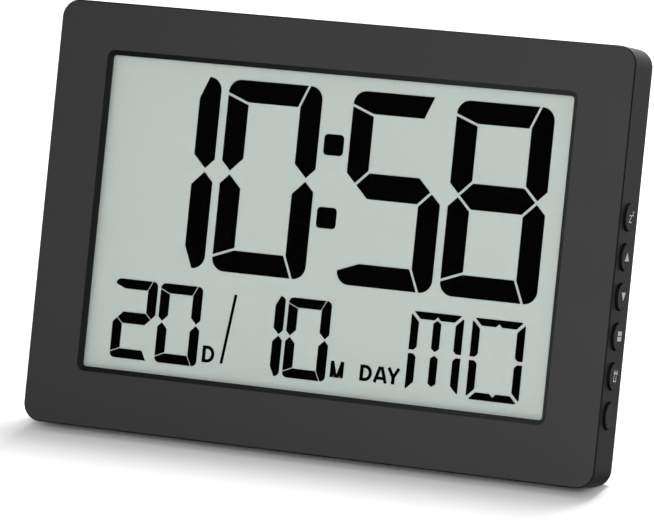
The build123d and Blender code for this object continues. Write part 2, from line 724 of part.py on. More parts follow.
def case_blocks():
    """What the tub carries inside: bosses, posts, and the blocks of the bay, its door, stand and keyhole."""
    blocks = [rod(x, z, CASE_BOSS_RADIUS, boss_seat, back_inner) for x, z in case_screw_places()]
    blocks += [rod(x, z, BOARD_POST_RADIUS, board_back, back_inner) for x, z in board_screw_places()]
    half = bay_end + BAY_WALL
    blocks.append(block(-half, half, bay_floor - BAY_FLOOR, back_inner,
                        bay_bottom - BAY_WALL, bay_top + BAY_WALL))
    half = door_width / 2 + DOOR_FIT + DOOR_FRAME
    blocks.append(block(-half, half, case_depth - DOOR_FRAME_DEPTH, back_inner,
                        door_bottom - DOOR_FRAME, door_top + DOOR_FRAME))
    half = recess_half + POCKET_WALL
    blocks.append(block(-half, half, recess_floor - POCKET_FLOOR, back_inner,
                        SIDE_WALL / 2, recess_top + POCKET_FLOOR))
    half = keyhole_half + KEYHOLE_POCKET_WALL
    blocks.append(block(-half, half, back_inner - KEYHOLE_POCKET - KEYHOLE_POCKET_WALL, back_inner,
                        keyhole_z - half, keyhole_top + KEYHOLE_POCKET_WALL))
    return blocks


def bay_cuts():
    """Battery bay, the opening for its door, the door's pin holes, finger scoop and the contact slots."""
    past = case_depth + CUT_OVERRUN
    cuts = [block(-bay_end, bay_end, bay_floor, past, bay_bottom, bay_top)]
    half = door_width / 2 + DOOR_FIT
    ledge = case_depth - 2 * DOOR_BARREL - DOOR_LEDGE_GAP
    cuts.append(block(-half, half, ledge, past, door_bottom - DOOR_FIT, door_top + DOOR_FIT))
    hole = half + DOOR_PIN + PIN_END_GAP
    cuts.append(cross_rod(door_axis_y, door_axis_z, DOOR_PIN_RADIUS + PIN_CLEARANCE, -hole, hole))
    cuts.append(rod(0, door_top + DOOR_FIT, SCOOP_RADIUS, case_depth - SCOOP_DEPTH, past))
    slot = TAB_WIDTH / 2 + TAB_CLEARANCE
    near = board_back + SOLDER_GAP - TAB_CLEARANCE
    far = board_back + SOLDER_GAP + CONTACT + TAB_CLEARANCE
    for z in cell_rows:
        cuts.append(block(bay_end - CUT_OVERRUN, bay_end + BAY_WALL + CUT_OVERRUN, near, far,
                          z - slot, z + slot))
    return cuts


def bay_ridge():
    """Low ridge on the floor of the bay that keeps the two cells apart."""
    middle = (bay_bottom + bay_top) / 2
    half = CELL_LENGTH / 2 - CONTACT_BOW
    return block(-half, half, bay_floor - BAY_FLOOR / 2, bay_floor + BAY_RIDGE,
                 middle - BAY_RIDGE_WIDTH / 2, middle + BAY_RIDGE_WIDTH / 2)


def case_cuts():
    """Screw holes, button holes, stand recess with its pin holes, keyhole, sound holes and the foot land."""
    past = case_depth + CUT_OVERRUN
    cuts = []
    for x, z in case_screw_places():
        cuts.append(rod(x, z, CASE_SCREW_HEAD_RADIUS + HEAD_CLEARANCE, screw_seat, past))
        cuts.append(rod(x, z, CASE_SCREW_RADIUS + SHANK_CLEARANCE, boss_seat - CUT_OVERRUN, past))
    pilot_end = board_front + BOARD_SCREW_LENGTH + THREAD_CLEARANCE
    for x, z in board_screw_places():
        cuts.append(rod(x, z, BOARD_SCREW_RADIUS + THREAD_CLEARANCE, board_front, pilot_end))
    for z in button_heights:
        cuts.append(cross_rod(button_depth, z, BUTTON_RADIUS + BUTTON_GAP, side_inner - CUT_OVERRUN,
                              CASE_WIDTH / 2 + CUT_OVERRUN))
    cuts.append(block(-recess_half, recess_half, recess_floor, past, -CUT_OVERRUN, recess_top))
    hole = recess_half + STAND_PIN
    cuts.append(cross_rod(stand_axis_y, stand_height, STAND_PIN_RADIUS + PIN_CLEARANCE, -hole, hole))
    cuts.append(block(-keyhole_half, keyhole_half, back_inner - KEYHOLE_POCKET, back_inner,
                      keyhole_z - keyhole_half, keyhole_top))
    cuts.append(keyhole(back_inner - CUT_OVERRUN, past))
    cuts += sound_holes()
    cuts.append(foot_land())
    return cuts


def rear_case():
    """Deep tub with everything moulded in it."""
    body = panel(rounded(CASE_WIDTH, CASE_HEIGHT, CASE_CORNER, 0, case_middle), rim, case_depth)
    body = fillet(body.faces().sort_by(Axis.Y)[-1].edges(), BACK_EDGE_ROUND)
    inside = rounded(2 * side_inner, CASE_HEIGHT - 2 * SIDE_WALL, CASE_CORNER - SIDE_WALL, 0, case_middle)
    body -= panel(inside, rim, back_inner)
    body += case_blocks()
    body -= bay_cuts()
    body += bay_ridge()
    body -= case_cuts()
    return body


def screws(places, head_end, seat, tip, head_radius, radius):
    """Turned screws with a head, a shank from its seat to the tip and a cross recess in the head."""
    profile = [(0, head_end), (head_radius, head_end), (head_radius, seat), (radius, seat), (radius, tip),
               (0, tip)]
    reach = head_radius * DRIVE_REACH_SHARE
    depth = (seat - head_end) * DRIVE_DEPTH_SHARE
    near, far = sorted((head_end - depth, head_end + depth))
    pieces = []
    for x, z in places:
        screw = turned(profile, x, z)
        for wide, tall in ((reach, DRIVE_WIDTH / 2), (DRIVE_WIDTH / 2, reach)):
            screw -= block(x - wide, x + wide, near, far, z - tall, z + tall)
        pieces.append(screw)
    return Compound(pieces)


def case_screws():
    """Four screws from the back into the bosses of the bezel."""
    return screws(case_screw_places(), screw_seat + CASE_SCREW_HEAD, screw_seat, screw_tip,
                  CASE_SCREW_HEAD_RADIUS, CASE_SCREW_RADIUS)


def board_screws():
    """Four screws from the front that hold the board on its posts."""
    return screws(board_screw_places(), board_front - BOARD_SCREW_HEAD, board_front,
                  board_front + BOARD_SCREW_LENGTH, BOARD_SCREW_HEAD_RADIUS, BOARD_SCREW_RADIUS)


def battery_cell(z, side):
    """Turned cell with bevelled ends and a positive nub towards the given side."""
    nub = bay_end - CONTACT_SEAT - CONTACT
    shoulder = nub - CELL_NUB
    end = nub - CELL_LENGTH
    soft = CELL_RADIUS - CELL_EDGE
    profile = [(end, 0), (end, soft), (end + CELL_EDGE, CELL_RADIUS), (shoulder - CELL_EDGE, CELL_RADIUS),
               (shoulder, soft), (shoulder, CELL_NUB_RADIUS), (nub, CELL_NUB_RADIUS), (nub, 0)]
    return cross_turned([(side * x, radius) for x, radius in profile], cell_depth, z)


def contact_plate(side, low, high):
    """Flat plate of sheet metal against one end wall of the bay."""
    wall = side * (bay_end - CONTACT_SEAT)
    face = wall - side * CONTACT
    return block(min(wall, face), max(wall, face), board_back + SOLDER_GAP, cell_depth + CONTACT_LENGTH / 2,
                 low, high)


def contact_bow(side, z):
    """Springy bowed leaf that presses on the flat end of a cell."""
    root = side * (bay_end - CONTACT_SEAT - CONTACT / 2)
    crest = side * (bay_end - CONTACT_SEAT - CONTACT - CONTACT_BOW)
    half = CONTACT_WIDTH / 2
    thin = half - CONTACT
    outer = ThreePointArc((root, z - half), (crest, z), (root, z + half))
    inner = ThreePointArc((root, z + thin), (crest + side * CONTACT, z), (root, z - thin))
    leaf = make_face([outer, Line(outer @ 1, inner @ 0), inner, Line(inner @ 1, outer @ 0)])
    return panel(leaf, cell_depth - CONTACT_LENGTH / 2, cell_depth + CONTACT_LENGTH / 2)


def contact_tab(z):
    """Solder tab from a contact through the bay's right wall onto the board."""
    start = bay_end - CONTACT_SEAT - CONTACT
    near = board_back + SOLDER_GAP
    return block(start, board_left + TAB_REACH, near, near + CONTACT, z - TAB_WIDTH / 2, z + TAB_WIDTH / 2)


def positive_contact():
    """Plate at the nub of the upper cell."""
    z = cell_rows[1]
    half = CONTACT_WIDTH / 2
    return contact_plate(1, z - half, z + half) + contact_tab(z)


def negative_contact():
    """Plate with a bowed leaf at the flat end of the lower cell."""
    z = cell_rows[0]
    half = CONTACT_WIDTH / 2
    return contact_plate(1, z - half, z + half) + contact_bow(1, z) + contact_tab(z)


def bridge_contact():
    """Plate that joins the two cells at the left end, with a bowed leaf at the upper one."""
    half = CONTACT_WIDTH / 2
    return contact_plate(-1, cell_rows[0] - half, cell_rows[1] + half) + contact_bow(-1, cell_rows[1])


def battery_door():
    """Flush door that turns on two pins in its rounded lower edge, with a springy latch at the top."""
    inside = case_depth - DOOR
    half = door_width / 2
    door = block(-half, half, inside, case_depth, door_axis_z, door_top)
    door += cross_rod(door_axis_y, door_axis_z, DOOR_BARREL, -half, half)
    pin = half + DOOR_FIT + DOOR_PIN
    door += cross_rod(door_axis_y, door_axis_z, DOOR_PIN_RADIUS, -pin, pin)
    past = case_depth + CUT_OVERRUN
    for edge in (-LATCH_WIDTH / 2, LATCH_WIDTH / 2):
        door -= block(edge - LATCH_SLOT / 2, edge + LATCH_SLOT / 2, inside - CUT_OVERRUN, past,
                      door_top - LATCH_SLOT_LENGTH, door_top + CUT_OVERRUN)
    tongue = LATCH_WIDTH / 2 - LATCH_SLOT / 2
    for groove in range(GRIP_GROOVES):
        z = door_top - (groove + 1) * GRIP_PITCH
        door -= block(-tongue, tongue, case_depth - GRIP_GROOVE, past,
                      z - GRIP_GROOVE / 2, z + GRIP_GROOVE / 2)
    return door + cross_rod(case_depth - DOOR / 2, door_top, LATCH_BEAD_RADIUS, -tongue, tongue)


def folded_stand():
    """The leg as it lies in its recess: tapered plate, pins, heel, round foot and two ribs inside."""
    foot = stand_height - stand_reach
    heel = stand_height + STAND_HEEL
    top = STAND_WIDTH / 2
    bottom = STAND_FOOT_WIDTH / 2
    outline = Polygon((-top, heel), (top, heel), (top, stand_height), (bottom, foot), (-bottom, foot),
                      (-top, stand_height))
    outline = fillet(outline.vertices().sort_by(Axis.Y)[:2], STAND_FOOT_CORNER)
    inside = stand_axis_y - stand_half
    leg = panel(outline, inside, stand_axis_y + stand_half)
    flat = bottom - STAND_FOOT_CORNER
    leg += cross_rod(stand_axis_y, foot, stand_half, -flat, flat)
    leg += cross_rod(stand_axis_y, stand_height, STAND_BARREL, -top, top)
    pin = top + STAND_PIN
    leg += cross_rod(stand_axis_y, stand_height, STAND_PIN_RADIUS, -pin, pin)
    for x in (STAND_RIB_INSET - bottom, bottom - STAND_RIB_INSET):
        leg += block(x - STAND_RIB_WIDTH / 2, x + STAND_RIB_WIDTH / 2, inside - STAND_RIB, inside,
                     foot + STAND_RIB_FOOT_GAP, stand_height - STAND_RIB_TOP_GAP)
    return leg


def stand():
    """The leg swung out about its pins until its heel meets the stop."""
    hinge = Pos(0, stand_axis_y, stand_height)
    return hinge * Rot(STAND_OPEN, 0, 0) * hinge.inverse() * folded_stand()


def all_pieces():
    """Every piece of the clock by name, in the upright drawing."""
    pieces = {
        "front_bezel": front_bezel(),
        "rear_case": rear_case(),
        "display_lens": display_lens(),
        "lcd_front_polariser": film(lens_back, glass_front),
        "lcd_front_glass": front_glass(),
        "lcd_edge_seal": edge_seal(),
        "lcd_time_digits": time_digits(),
        "lcd_colon_dots": colon_dots(),
        "lcd_day_digits": date_digits(DAY_SHOWN, DAY_LEFT_SHARE),
        "lcd_month_digits": date_digits(MONTH_SHOWN, MONTH_LEFT_SHARE),
        "lcd_weekday_letters": weekday_letters(),
        "lcd_rear_glass": rear_glass(),
        "lcd_reflector": film(reflector_front, display_back),
        "lcd_frame": lcd_frame(),
        "connector_strip": connector_strip(),
        "main_board": main_board(),
        "clock_chip": clock_chip(),
        "quartz_crystal": quartz_crystal(),
        "capacitors": capacitors(),
        "alarm_buzzer": alarm_buzzer(),
        "side_switches": side_switches(),
        "upper_cell": battery_cell(cell_rows[1], 1),
        "lower_cell": battery_cell(cell_rows[0], -1),
        "positive_contact": positive_contact(),
        "negative_contact": negative_contact(),
        "bridge_contact": bridge_contact(),
        "battery_door": battery_door(),
        "stand": stand(),
        "case_screws": case_screws(),
        "board_screws": board_screws(),
    }
    for name, z in zip(BUTTON_NAMES, button_heights):
        pieces[f"{name}_button"] = side_button(z)
        pieces[f"{name}_plunger"] = switch_plunger(z)
    return pieces


def main():
    """Lean the clock back, set it on the floor and write one file for each piece."""
    os.makedirs("parts", exist_ok=True)
    pieces = all_pieces()
    lean = Rot(-LEAN, 0, 0)
    leaning = {name: lean * piece for name, piece in pieces.items()}
    box = Compound(list(leaning.values())).bounding_box()
    home = Pos(-box.center().X, -box.center().Y, -box.min.Z)
    for name, piece in leaning.items():
        export_step(home * piece, f"parts/{name}.step")
    print("pieces", len(pieces), "box", box.size)
    print("drawing origin moved by", home.position)


main()
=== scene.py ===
# %% [markdown]
# # A desk clock with a large liquid crystal display
# The clock is a flat, dark-grey moulded case that leans back on a fold-out stand. Its solids come from a
# CAD model and stay as they are. This lesson gives every solid a finish, adds the printed signs that are
# too thin to be solids, and sets up a plain studio round the clock.

# %% Load the solids
import math

import bmesh
import bpy
import numpy as np
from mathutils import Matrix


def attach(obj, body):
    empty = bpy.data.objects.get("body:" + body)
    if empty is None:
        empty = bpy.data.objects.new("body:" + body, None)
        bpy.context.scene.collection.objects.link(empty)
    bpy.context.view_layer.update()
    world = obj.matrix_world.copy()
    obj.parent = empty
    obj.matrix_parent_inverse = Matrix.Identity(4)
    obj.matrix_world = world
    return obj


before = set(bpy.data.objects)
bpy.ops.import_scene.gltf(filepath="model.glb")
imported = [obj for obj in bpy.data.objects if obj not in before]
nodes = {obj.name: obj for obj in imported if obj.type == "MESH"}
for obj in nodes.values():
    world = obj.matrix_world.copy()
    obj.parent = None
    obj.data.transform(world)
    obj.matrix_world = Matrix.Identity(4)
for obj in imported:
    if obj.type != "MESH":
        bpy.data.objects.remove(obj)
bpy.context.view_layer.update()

# %% [markdown]
# ## Drawing on a leaning case
# Signs and finishes are easiest to describe on an upright clock: x to the right, y from the front face
# towards the back, z up along the case, in millimetres. The real clock leans back by 15 degrees. One could
# turn each finished object, but an object that stays at the origin keeps its pattern in place when it is
# exported. So the points are turned, and the objects aren't.

# %% From clock millimetres to metres in the scene
LEAN = math.radians(15)
CORNER = np.array([-0.6, -26.7855, 3.36465])  # where the drawing's origin lies, in mm


def placed(points):
    """Scene metres for an array of clock points: turned by the lean about x, moved by the corner, scaled."""
    x, y, z = np.asarray(points, float).T
    cosine, sine = math.cos(LEAN), math.sin(LEAN)
    return (np.column_stack([x, y * cosine + z * sine, z * cosine - y * sine]) + CORNER) / 1000


print("top edge of the front face at", placed([[0, 0, 140]]).round(4).tolist())

# %% [markdown]
# ## Camera
# A product picture like this is taken from far away with a long lens, which keeps the case's edges nearly
# parallel. The camera stands to the right of the clock and a little above it, so that the row of buttons
# shows. Its place and lens were worked out from the corners of the case and of the window.

# %% Camera
camera = bpy.data.objects.new("camera", bpy.data.cameras.new("camera"))
bpy.context.scene.collection.objects.link(camera)
camera.location = (0.53737, -1.27903, 0.42586)
camera.rotation_euler = (math.radians(75.28894), 0, math.radians(22.87612))
camera.data.lens = 243.311
camera.data.sensor_width = 36
bpy.context.scene.camera = camera
bpy.context.scene.view_settings.view_transform = "Standard"
print("camera", round(camera.location.length, 2), "m away, lens", camera.data.lens, "mm")

# %% [markdown]
# ## What a finish is made of
# Every finish is a Principled shader whose fixed values sit on its own sockets. What varies over the
# surface comes from a few small patterns: a fine grain, a mask along one direction, a mix of two colours,
# and a bump. The patterns read the object's own coordinates, turned back by the lean, so that they run
# along the case and stay on it from every side. The sky below is put together from the same pieces.

# %% Building blocks of the finishes
def finish(name, colour, roughness, specular=0.5, metallic=0.0):
    """A new material, with its node tree and shader."""
    material = bpy.data.materials.new(name)
    material.use_nodes = True
    shader = material.node_tree.nodes["Principled BSDF"]
    shader.inputs["Base Color"].default_value = (*colour, 1)
    shader.inputs["Roughness"].default_value = roughness
    shader.inputs["Specular IOR Level"].default_value = specular
    shader.inputs["Metallic"].default_value = metallic
    return material, material.node_tree, shader


def clock_place(tree):
    """The surface point in clock directions, in metres from the lower front edge of the case."""
    source = tree.nodes.new("ShaderNodeTexCoord")
    turn = tree.nodes.new("ShaderNodeMapping")
    x, y, z = -CORNER / 1000
    turn.inputs["Rotation"].default_value = (LEAN, 0, 0)
    turn.inputs["Location"].default_value = (x, y * math.cos(LEAN) - z * math.sin(LEAN),
                                             y * math.sin(LEAN) + z * math.cos(LEAN))
    tree.links.new(source.outputs["Object"], turn.inputs["Vector"])
    return turn.outputs["Vector"]


def grain(tree, place, size, detail=2.0):
    """Noise from 0 to 1 with spots of about that size, in metres."""
    noise = tree.nodes.new("ShaderNodeTexNoise")
    noise.inputs["Scale"].default_value = 1 / size
    noise.inputs["Detail"].default_value = detail
    tree.links.new(place, noise.inputs["Vector"])
    return noise.outputs["Fac"]


def along(tree, place, axis):
    """One coordinate of a place: X, Y or Z."""
    split = tree.nodes.new("ShaderNodeSeparateXYZ")
    tree.links.new(place, split.inputs["Vector"])
    return split.outputs[axis]


def ramp(tree, value, start, end, low=0.0, high=1.0):
    """A value that goes from low to high while the input goes from start to end."""
    spread = tree.nodes.new("ShaderNodeMapRange")
    for socket, number in zip(("From Min", "From Max", "To Min", "To Max"), (start, end, low, high)):
        spread.inputs[socket].default_value = number
    tree.links.new(value, spread.inputs["Value"])
    return spread.outputs["Result"]


def mixed(tree, share, first, second):
    """A colour between two: each is a colour of three numbers or another node's output."""
    mix = tree.nodes.new("ShaderNodeMix")
    mix.data_type = "RGBA"
    tree.links.new(share, mix.inputs["Factor"])
    for socket, colour in ((mix.inputs[6], first), (mix.inputs[7], second)):
        if isinstance(colour, tuple):
            socket.default_value = (*colour, 1)
        else:
            tree.links.new(colour, socket)
    return mix.outputs[2]


def paint(tree, shader, colour):
    """Gives the shader a colour that varies over the surface."""
    tree.links.new(colour, shader.inputs["Base Color"])


def roughen(tree, shader, share, low, high):
    """Lets the roughness vary from low to high with a pattern."""
    tree.links.new(ramp(tree, share, 0, 1, low, high), shader.inputs["Roughness"])


def emboss(tree, shader, height, depth, strength):
    """Raises the surface by a pattern of that depth in metres."""
    bump = tree.nodes.new("ShaderNodeBump")
    bump.inputs["Distance"].default_value = depth
    bump.inputs["Strength"].default_value = strength
    tree.links.new(height, bump.inputs["Height"])
    tree.links.new(bump.outputs["Normal"], shader.inputs["Normal"])


def combined(tree, operation, first, second):
    """Two values put together by a sum, a product or the larger of both."""
    both = tree.nodes.new("ShaderNodeMath")
    both.operation = operation
    tree.links.new(first, both.inputs[0])
    tree.links.new(second, both.inputs[1])
    return both.outputs["Value"]


def dress(material, *names):
    """Puts a finish on the named solids, in place of what they came with."""
    for name in names:
        nodes[name].data.materials.clear()
        nodes[name].data.materials.append(material)
    print(material.name, "on", ", ".join(names))


# %% [markdown]
# ## Floor and light
# The clock stands on a plain white sweep that burns out to white. The key light is overhead and well behind
# it, so the shadow begins right at the front edge, and the light's own width lets it fade over a few
# centimetres. A weaker light from the front right reaches the front face. Dark plastic shows mostly what it
# mirrors, and two lights alone would leave it dead. So the sky is brighter on the left than on the right,
# darker far below, and has a low glow behind the clock that gives the round corner its highlight. The floor
# is hidden from mirrored rays, because it would show up in them as one white sheet. The camera looks down
# at the floor and never sees the sky itself.

# %% Floor, sky and lights
FAR = 6  # metres from the clock to the floor's edges
floor_mesh = bpy.data.meshes.new("floor")
floor_mesh.from_pydata([(-FAR, -FAR, 0), (FAR, -FAR, 0), (FAR, FAR, 0), (-FAR, FAR, 0)], [], [(0, 1, 2, 3)])
floor = bpy.data.objects.new("floor", floor_mesh)
bpy.context.scene.collection.objects.link(floor)
floor.visible_glossy = False
floor_mesh.materials.append(finish("white_paper", (0.9, 0.9, 0.9), 0.9, 0.1)[0])

# Pairs of a height over a tilted horizon and the brightness there.
SKY = ((-0.6, 0.27), (-0.25, 0.33), (0.05, 0.5), (0.3, 0.55), (1, 0.5))
SKY_TILT = math.radians(60)  # lifts the bright part to the left
BELOW = 0.3  # share of the brightness that is left far below
GLOW = 1.25  # what is added to the brightness low behind the clock
sky = bpy.data.worlds.new("sky")
sky.use_nodes = True
tree = sky.node_tree
background = tree.nodes["Background"]
direction = tree.nodes.new("ShaderNodeTexCoord").outputs["Generated"]
tilt = tree.nodes.new("ShaderNodeMapping")
tilt.inputs["Rotation"].default_value = (0, SKY_TILT, 0)
tree.links.new(direction, tilt.inputs["Vector"])
bands = tree.nodes.new("ShaderNodeValToRGB")
while len(bands.color_ramp.elements) < len(SKY):
    bands.color_ramp.elements.new(0.5)
for stop, (height, brightness) in zip(bands.color_ramp.elements, SKY):
    stop.position = (height + 1) / 2
    stop.color = (brightness, brightness, brightness, 1)
tree.links.new(ramp(tree, along(tree, tilt.outputs["Vector"], "Z"), -1, 1), bands.inputs["Fac"])
tree.links.new(bands.outputs["Color"], background.inputs["Color"])
right, back, up = along(tree, direction, "X"), along(tree, direction, "Y"), along(tree, direction, "Z")
glow = ramp(tree, right, 0.2, -0.2, 0, GLOW)
for limit in (ramp(tree, up, 0.25, 0.12), ramp(tree, up, -0.3, -0.15), ramp(tree, back, 0.6, 0.85)):
    glow = combined(tree, "MULTIPLY", glow, limit)
strength = combined(tree, "ADD", ramp(tree, up, -0.45, -0.2, BELOW, 1), glow)
tree.links.new(strength, background.inputs["Strength"])
bpy.context.scene.world = sky


def soft_light(name, place, aim, size, power):
    """A square area light of that size and power, at a place in metres and turned towards aim."""
    data = bpy.data.lights.new(name, "AREA")
    data.size = size
    data.energy = power
    light = bpy.data.objects.new(name, data)
    light.location = place
    x, y, z = np.subtract(aim, place)
    light.rotation_euler = (math.atan2(math.hypot(x, y), -z), 0, math.atan2(y, x) - math.pi / 2)
    light.visible_camera = False
    bpy.context.scene.collection.objects.link(light)


soft_light("key", (0.08, 0.6, 1.375), (0, 0, 0), 0.45, 25)
soft_light("fill", (0.53, -1.2, 0.556), (0.02, 0, 0.06), 0.48, 12)

# %% [markdown]
# ## Moulded plastic of the case
# The case is injection-moulded in dark grey. Its mould was spark-eroded, which leaves a fine, even grain a
# fifth of a millimetre across that scatters the light. A single colour would look like paint, so the grain
# drives the bump and the roughness, and a slow, faint variation keeps large walls alive.

# %% Rear case, stand and door
def moulded(name, tone, roughness, specular):
    """Dark plastic with a spark-eroded grain and a slow variation of its tone."""
    material, tree, shader = finish(name, (tone, tone, tone), roughness, specular)
    place = clock_place(tree)
    fine = grain(tree, place, 0.0002)
    slow = grain(tree, place, 0.03, 1.0)
    roughen(tree, shader, fine, roughness - 0.06, roughness + 0.06)
    emboss(tree, shader, fine, 0.00001, 0.25)
    low, high = tone * 0.95, tone * 1.05
    return material, tree, shader, place, mixed(tree, slow, (low, low, low), (high, high, high))


def plain_moulded(name, tone, roughness, specular):
    """The same plastic where nothing else is on it."""
    material, tree, shader, place, colour = moulded(name, tone, roughness, specular)
    paint(tree, shader, colour)
    return material


dress(plain_moulded("case_grain", 0.0108, 0.38, 0.45), "rear_case", "stand", "battery_door")

# %% [markdown]
# ## Front bezel
# The front face has the same grain. The narrow chamfer round its outer edge and the slope down to the
# window are of the same plastic but lie in shade, and that shade is painted into their colour, darker than
# the face. They lie deeper than the face does, so a mask along the depth tells them apart, with no need to
# cut the solid up. Along the sides and the lower edge this painted dark line is thinner, and starts further
# down the chamfer. The front also gets a little darker towards the left, more than one area light makes it,
# so a slow ramp across the face and the slopes paints that shade into their colour as well.

# %% Bezel
SIDES, FOOT, TOP = 0.095, 0.005, 0.135  # metres from the middle and heights where the outer strips begin
STEP = 0.001  # over which such a strip sets in
SLOPE_START = (0.00001, 0.00006)  # depths over which the face gives way to a slope
LINE_START = (0.00017, 0.00022)  # and to the thin dark line
DULL = 0.02  # specular level of the chamfer
FACE_GLOSS = 0.13  # and of all the rest


def outer_edge(tree, across, up):
    """A mask that is 1 in the last few millimetres towards the sides and the lower edge, and 0 elsewhere."""
    right, left = ramp(tree, across, SIDES, SIDES + STEP), ramp(tree, across, -SIDES, -SIDES - STEP)
    sides = combined(tree, "MAXIMUM", right, left)
    return combined(tree, "MAXIMUM", sides, ramp(tree, up, FOOT, FOOT - STEP))


material, tree, shader, place, colour = moulded("bezel_grain_and_painted_shade", 0.0325, 0.55, FACE_GLOSS)
across, depth, up = along(tree, place, "X"), along(tree, place, "Y"), along(tree, place, "Z")
# Painted shade: the face and its slopes are coloured darker towards the left, where the light falls off.
painted_light_rightwards = ramp(tree, across, -0.1, 0.1)
face = mixed(tree, painted_light_rightwards, (0.027, 0.027, 0.027), colour)
# Painted shade: the chamfer and the slopes into the window get a near-black colour, darker still on the
# left.
dark = mixed(tree, painted_light_rightwards, (0.002, 0.002, 0.002), (0.019, 0.019, 0.019))
sloping = ramp(tree, depth, *SLOPE_START)
slope = mixed(tree, sloping, face, dark)
# Painted shade: a thin near-black line along the outer chamfer of the sides and the lower edge.
line = mixed(tree, ramp(tree, depth, *LINE_START), face, (0.008, 0.008, 0.008))
outer = outer_edge(tree, across, up)
paint(tree, shader, mixed(tree, outer, slope, line))
whole_rim = combined(tree, "MAXIMUM", outer, ramp(tree, up, TOP, TOP + STEP))
chamfer = combined(tree, "MULTIPLY", sloping, whole_rim)
tree.links.new(ramp(tree, chamfer, 0, 1, FACE_GLOSS, DULL), shader.inputs["Specular IOR Level"])
dress(material, "front_bezel")

# %% [markdown]
# ## Buttons
# The six caps are of a duller plastic, in the tone of the case. Only their round side wall and the groove
# round it read as black: the groove lies in shade, and on the wall that shade is painted as a near-black
# colour. The caps' fronts are further out than their walls, so the mask runs along x here.

# %% Button caps and switch plungers
KEYS = ("set", "alarm", "mode", "down", "up", "snooze")
material, tree, shader, place, colour = moulded("button_satin_and_painted_shade", 0.036, 0.7, 0.05)
unshaded_cap_face = ramp(tree, along(tree, place, "X"), 0.1006, 0.101)  # the caps' rounded edge lies between
# Painted shade: each cap's side wall, short of its front, gets a near-black colour.
paint(tree, shader, mixed(tree, unshaded_cap_face, (0.003, 0.003, 0.003), colour))
dress(material, *[key + "_button" for key in KEYS])

dress(plain_moulded("plunger_plastic", 0.5, 0.5, 0.4), *[key + "_plunger" for key in KEYS])

# %% [markdown]
# ## Clear layers of the display
# A lens, a polarising film and a front glass lie over the liquid crystal. Refracting glass would be the
# full way to make them, but it needs many light paths for layers that hardly show. A shader with a low
# alpha lets the display through and leaves a faint veil, which is all that an anti-glare lens does.

# %% Lens, film, glass and seal
def clear(name, colour, alpha, roughness):
    """A thin clear layer: mostly see-through, with a faint uneven veil."""
    material, tree, shader = finish(name, colour, roughness, 0.02)
    fine = grain(tree, clock_place(tree), 0.0004)
    roughen(tree, shader, fine, roughness - 0.05, roughness + 0.05)
    shader.inputs["Alpha"].default_value = alpha
    return material


bpy.context.scene.cycles.transparent_max_bounces = 32  # light passes six clear faces on its way in and out
dress(clear("anti_glare_lens", (0.004, 0.004, 0.004), 0.02, 0.35), "display_lens")
dress(clear("polarising_film", (0.002, 0.002, 0.002), 0.02, 0.4), "lcd_front_polariser")
dress(clear("thin_glass", (0.004, 0.005, 0.004), 0.02, 0.2), "lcd_front_glass")

material, tree, shader = finish("seal_resin", (0.35, 0.38, 0.36), 0.5)
cloud = grain(tree, clock_place(tree), 0.0015)
paint(tree, shader, mixed(tree, cloud, (0.3, 0.33, 0.31), (0.42, 0.45, 0.43)))
dress(material, "lcd_edge_seal")

# %% [markdown]
# ## Ground and segments
# A reflective display has no lamp: the light falls through the layers, and a grey-green reflector sends it
# back, except where a lit segment blocks it. The rear glass lies right behind the segments and carries the
# ground's tone here, because on the reflector below it the segments would seem to float.

# %% Display ground, reflector and segments
material, tree, shader = finish("display_ground", (0.476, 0.536, 0.506), 0.7, 0.1)
fine = grain(tree, clock_place(tree), 0.0003)
paint(tree, shader, mixed(tree, fine, (0.463, 0.522, 0.493), (0.489, 0.55, 0.519)))
roughen(tree, shader, fine, 0.65, 0.75)
dress(material, "lcd_rear_glass")

material, tree, shader = finish("brushed_reflector", (0.6, 0.62, 0.6), 0.35, 0.5, 0.8)
place = clock_place(tree)
stretch = tree.nodes.new("ShaderNodeMapping")
stretch.inputs["Scale"].default_value = (1, 30, 30)
tree.links.new(place, stretch.inputs["Vector"])
lines = grain(tree, stretch.outputs["Vector"], 0.004)
roughen(tree, shader, lines, 0.25, 0.45)
paint(tree, shader, mixed(tree, lines, (0.55, 0.57, 0.55), (0.66, 0.68, 0.66)))
dress(material, "lcd_reflector")

material, tree, shader = finish("lit_crystal", (0.001, 0.0008, 0.0008), 0.8, 0.0)
fine = grain(tree, clock_place(tree), 0.0004)
paint(tree, shader, mixed(tree, fine, (0.0007, 0.0005, 0.0005), (0.0014, 0.001, 0.001)))
segment_finish = material
dress(material, "lcd_time_digits", "lcd_colon_dots", "lcd_day_digits", "lcd_month_digits",
      "lcd_weekday_letters")

# %% [markdown]
# ## Inside the case
# Nothing of the inside shows in a closed clock, but the part is taken apart by its users, so each inner
# piece has the finish of the real one: pale plastic for the frame, green solder mask with copper tracks
# under it, black epoxy over the chip, tinned and nickelled metal, striped conductive rubber.

# %% Frame, rubber strip and board
dress(plain_moulded("pale_plastic", 0.55, 0.5, 0.4), "lcd_frame")


def stripes(tree, place, axis, width):
    """Soft stripes from 0 to 1 across one axis, each of that width in metres."""
    wave = tree.nodes.new("ShaderNodeTexWave")
    wave.bands_direction = axis
    wave.inputs["Scale"].default_value = math.pi / (20 * width)
    wave.inputs["Distortion"].default_value = 0
    tree.links.new(place, wave.inputs["Vector"])
    return wave.outputs["Fac"]


material, tree, shader = finish("striped_rubber", (0.5, 0.5, 0.48), 0.7, 0.3)
layers = stripes(tree, clock_place(tree), "X", 0.0002)
paint(tree, shader, mixed(tree, layers, (0.03, 0.03, 0.03), (0.62, 0.6, 0.57)))
dress(material, "connector_strip")

